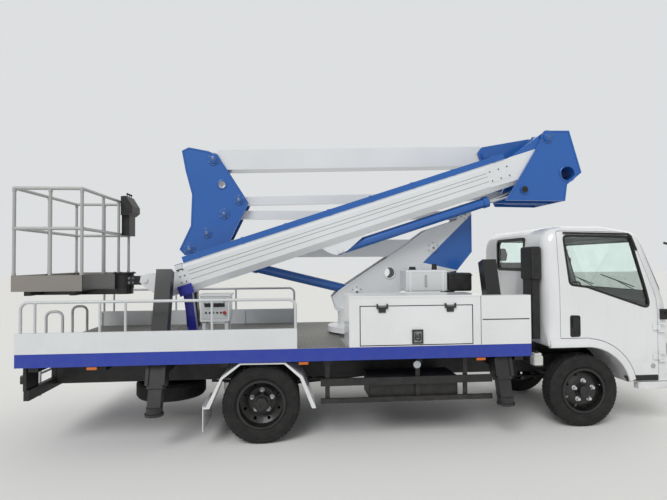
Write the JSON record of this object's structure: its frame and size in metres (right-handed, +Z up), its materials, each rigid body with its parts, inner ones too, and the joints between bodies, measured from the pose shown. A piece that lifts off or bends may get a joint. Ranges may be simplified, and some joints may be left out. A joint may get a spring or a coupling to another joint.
{
  "type": "cherry picker truck",
  "caption": "Forward-control truck with a two-arm folding lift, telescopic boom and work basket, stowed for the road, with outriggers, deck, side boards and cabinet.",
  "frame": {"origin": "on the ground under the middle of the overall box", "axes": "+X forward, +Y to the left, +Z up"},
  "size_m": [6.795, 2.2004, 3.221],
  "materials": {
    "white_paint": "gloss",
    "blue_paint": "gloss",
    "deck_paint": "gloss",
    "chassis_paint": "satin",
    "grey_paint": "satin",
    "rim_paint": "satin",
    "bare_steel": "satin",
    "rod_chrome": "polished",
    "tyre_rubber": "matte",
    "black_plastic": "matte",
    "interior": "matte",
    "lamp_plastic": "gloss",
    "clear_glass": "clear",
    "grey_panel": "satin"
  },
  "bodies": {
    "truck": {"ladder_frame": "chassis_paint", "subframe": "chassis_paint", "outrigger_sleeves": "grey_paint", "axles": "chassis_paint", "engine_and_exhaust": "chassis_paint", "side_boxes": "chassis_paint", "guards": "chassis_paint", "spare_wheel": "tyre_rubber", "lamps": "lamp_plastic", "deck": "deck_paint", "side_boards": "white_paint", "rails_and_ladder": "white_paint", "cabinet": "white_paint", "mudguards": "white_paint", "cab_shell": "white_paint", "cab_glass": "clear_glass", "cab_interior": "interior", "front_bumper": "white_paint", "mirrors": "black_plastic", "air_intake": "black_plastic", "tower": "white_paint", "boom_rest": "deck_paint", "control_station": "grey_panel"},
    "outrigger_rear_left": {"outrigger_leg_rear_left": "grey_paint"},
    "outrigger_rear_right": {"outrigger_leg_rear_right": "grey_paint"},
    "outrigger_front_left": {"outrigger_leg_front_left": "grey_paint"},
    "outrigger_front_right": {"outrigger_leg_front_right": "grey_paint"},
    "knuckle_left": {"steering_knuckle_left": "chassis_paint"},
    "front_wheel_left": {"front_rim_left": "rim_paint", "front_tyre_left": "tyre_rubber"},
    "rear_wheels_left": {"rear_rims_left": "rim_paint", "rear_tyres_left": "tyre_rubber"},
    "cab_door_left": {"cab_door_left": "white_paint", "cab_door_glass_left": "clear_glass"},
    "knuckle_right": {"steering_knuckle_right": "chassis_paint"},
    "front_wheel_right": {"front_rim_right": "rim_paint", "front_tyre_right": "tyre_rubber"},
    "rear_wheels_right": {"rear_rims_right": "rim_paint", "rear_tyres_right": "tyre_rubber"},
    "cab_door_right": {"cab_door_right": "white_paint", "cab_door_glass_right": "clear_glass"},
    "cabinet_door": {"cabinet_door": "white_paint"},
    "lower_arm": {"arm_1": "white_paint"},
    "lower_rod": {"rod_1": "white_paint"},
    "rear_elbow": {"elbow_a": "blue_paint"},
    "upper_arm": {"arm_2": "white_paint"},
    "upper_rod": {"rod_2": "white_paint"},
    "front_elbow": {"elbow_b": "blue_paint"},
    "boom_base": {"boom_base": "white_paint"},
    "boom_middle": {"boom_middle": "white_paint"},
    "boom_tip": {"boom_tip": "white_paint"},
    "lift_barrel": {"lift_barrel": "blue_paint"},
    "lift_rod": {"lift_rod": "rod_chrome"},
    "elbow_barrel": {"elbow_barrel": "blue_paint"},
    "elbow_rod": {"elbow_rod": "rod_chrome"},
    "luff_barrel": {"luff_barrel": "blue_paint"},
    "luff_rod": {"luff_rod": "rod_chrome"},
    "bracket": {"basket_bracket": "black_plastic"},
    "basket": {"basket": "bare_steel", "basket_console": "black_plastic"}
  },
  "joints": [
    {"name": "lower_arm_lift", "type": "hinge", "parent": "truck", "child": "lower_arm", "pos_m": [0.9825, 0.06, 1.908], "axis": [0, 1, 0], "range_deg": [0, 60]},
    {"name": "lower_rod_follow", "type": "hinge", "parent": "truck", "child": "lower_rod", "pos_m": [1.3705, 0.06, 2.303], "axis": [0, 1, 0], "range_deg": [0, 60]},
    {"name": "rear_elbow_level", "type": "hinge", "parent": "lower_arm", "child": "rear_elbow", "pos_m": [-1.8275, 0.06, 1.908], "axis": [0, 1, 0], "range_deg": [-60, 0]},
    {"name": "upper_arm_lift", "type": "hinge", "parent": "rear_elbow", "child": "upper_arm", "pos_m": [-1.5595, 0.06, 2.926], "axis": [0, -1, 0], "range_deg": [0, 70]},
    {"name": "upper_rod_follow", "type": "hinge", "parent": "rear_elbow", "child": "upper_rod", "pos_m": [-1.2735, 0.06, 2.462], "axis": [0, -1, 0], "range_deg": [0, 70]},
    {"name": "front_elbow_level", "type": "hinge", "parent": "upper_arm", "child": "front_elbow", "pos_m": [1.63338, 0.06, 3.01072], "axis": [0, -1, 0], "range_deg": [-70, 0]},
    {"name": "boom_luff", "type": "hinge", "parent": "front_elbow", "child": "boom_base", "pos_m": [2.2045, -0.32, 3.144], "axis": [0, 1, 0], "range_deg": [0, 90]},
    {"name": "boom_extend", "type": "slide", "parent": "boom_base", "child": "boom_middle", "axis": [-0.9511, 0, -0.309], "range_m": [0, 3]},
    {"name": "boom_tip_extend", "type": "slide", "parent": "boom_middle", "child": "boom_tip", "axis": [-0.9511, 0, -0.309], "range_m": [0, 3]},
    {"name": "bracket_level", "type": "hinge", "parent": "boom_tip", "child": "bracket", "pos_m": [-2.2175, -0.32, 1.568], "axis": [0, 1, 0], "range_deg": [-90, 0]},
    {"name": "basket_swing", "type": "hinge", "parent": "bracket", "child": "basket", "pos_m": [-2.4575, -0.32, 1.56], "axis": [0, 0, 1], "range_deg": [0, 90]},
    {"name": "lift_barrel_turn", "type": "hinge", "parent": "truck", "child": "lift_barrel", "pos_m": [0.0725, 0.06, 1.4], "axis": [0, 1, 0], "range_deg": [0, 67.5]},
    {"name": "lift_rod_slide", "type": "slide", "parent": "lift_barrel", "child": "lift_rod", "axis": [-0.9707, 0, 0.2404], "range_m": [0, 1.0177]},
    {"name": "elbow_barrel_turn", "type": "hinge", "parent": "rear_elbow", "child": "elbow_barrel", "pos_m": [-1.6345, 0.06, 2.085], "axis": [0, -1, 0], "range_deg": [-7.62, 0]},
    {"name": "elbow_rod_slide", "type": "slide", "parent": "elbow_barrel", "child": "elbow_rod", "axis": [-0.2298, 0, 0.9732], "range_m": [-0.31449, 0]},
    {"name": "luff_barrel_turn", "type": "hinge", "parent": "boom_base", "child": "luff_barrel", "pos_m": [-0.1475, -0.32, 1.882], "axis": [0, 1, 0], "range_deg": [-0.598, 0.1]},
    {"name": "luff_rod_slide", "type": "slide", "parent": "luff_barrel", "child": "luff_rod", "axis": [0.952, 0, 0.3062], "range_m": [0, 0.93671]},
    {"name": "cabinet_door_turn", "type": "hinge", "parent": "truck", "child": "cabinet_door", "pos_m": [0.5345, -1.012, 1.299], "axis": [-1, 0, 0], "range_deg": [0, 100]},
    {"name": "steering_left", "type": "hinge", "parent": "truck", "child": "knuckle_left", "pos_m": [2.3825, 0.596, 0.375], "axis": [0, 0, 1], "range_deg": [-36, 36]},
    {"name": "front_wheel_left_spin", "type": "hinge", "parent": "knuckle_left", "child": "front_wheel_left", "pos_m": [2.3825, 0.699, 0.375], "axis": [0, 1, 0], "continuous": true},
    {"name": "rear_wheels_left_spin", "type": "hinge", "parent": "truck", "child": "rear_wheels_left", "pos_m": [-0.9775, 0.7125, 0.375], "axis": [0, 1, 0], "continuous": true},
    {"name": "cab_door_left_turn", "type": "hinge", "parent": "truck", "child": "cab_door_left", "pos_m": [3.1745, 0.872, 0.9], "axis": [0, 0, -1], "range_deg": [0, 70]},
    {"name": "steering_right", "type": "hinge", "parent": "truck", "child": "knuckle_right", "pos_m": [2.3825, -0.596, 0.375], "axis": [0, 0, 1], "range_deg": [-36, 36]},
    {"name": "front_wheel_right_spin", "type": "hinge", "parent": "knuckle_right", "child": "front_wheel_right", "pos_m": [2.3825, -0.699, 0.375], "axis": [0, 1, 0], "continuous": true},
    {"name": "rear_wheels_right_spin", "type": "hinge", "parent": "truck", "child": "rear_wheels_right", "pos_m": [-0.9775, -0.7125, 0.375], "axis": [0, 1, 0], "continuous": true},
    {"name": "cab_door_right_turn", "type": "hinge", "parent": "truck", "child": "cab_door_right", "pos_m": [3.1745, -0.872, 0.9], "axis": [0, 0, 1], "range_deg": [0, 70]},
    {"name": "outrigger_rear_left_slide", "type": "slide", "parent": "truck", "child": "outrigger_rear_left", "axis": [0, 0.279, -0.9603], "range_m": [0, 0.48]},
    {"name": "outrigger_rear_right_slide", "type": "slide", "parent": "truck", "child": "outrigger_rear_right", "axis": [0, -0.279, -0.9603], "range_m": [0, 0.48]},
    {"name": "outrigger_front_left_slide", "type": "slide", "parent": "truck", "child": "outrigger_front_left", "axis": [0, 0.279, -0.9603], "range_m": [0, 0.48]},
    {"name": "outrigger_front_right_slide", "type": "slide", "parent": "truck", "child": "outrigger_front_right", "axis": [0, -0.279, -0.9603], "range_m": [0, 0.48]}
  ],
  "couplings": [
    {"joint": "rear_elbow_level", "follows": "lower_arm_lift", "ratio": -1},
    {"joint": "lower_rod_follow", "follows": "lower_arm_lift", "ratio": 1},
    {"joint": "lift_barrel_turn", "follows": "lower_arm_lift", "ratio": 1.1233},
    {"joint": "lift_rod_slide", "follows": "lower_arm_lift", "m_per_rad": 0.97087},
    {"joint": "upper_rod_follow", "follows": "upper_arm_lift", "ratio": 1},
    {"joint": "front_elbow_level", "follows": "upper_arm_lift", "ratio": -1},
    {"joint": "elbow_barrel_turn", "follows": "upper_arm_lift", "ratio": -0.1075},
    {"joint": "elbow_rod_slide", "follows": "upper_arm_lift", "m_per_rad": -0.25659},
    {"joint": "bracket_level", "follows": "boom_luff", "ratio": -1},
    {"joint": "luff_barrel_turn", "follows": "boom_luff", "ratio": -0.005533},
    {"joint": "luff_rod_slide", "follows": "boom_luff", "m_per_rad": 0.59569},
    {"joint": "boom_tip_extend", "follows": "boom_extend", "ratio": 1},
    {"joint": "steering_right", "follows": "steering_left", "ratio": 1}
  ]
}
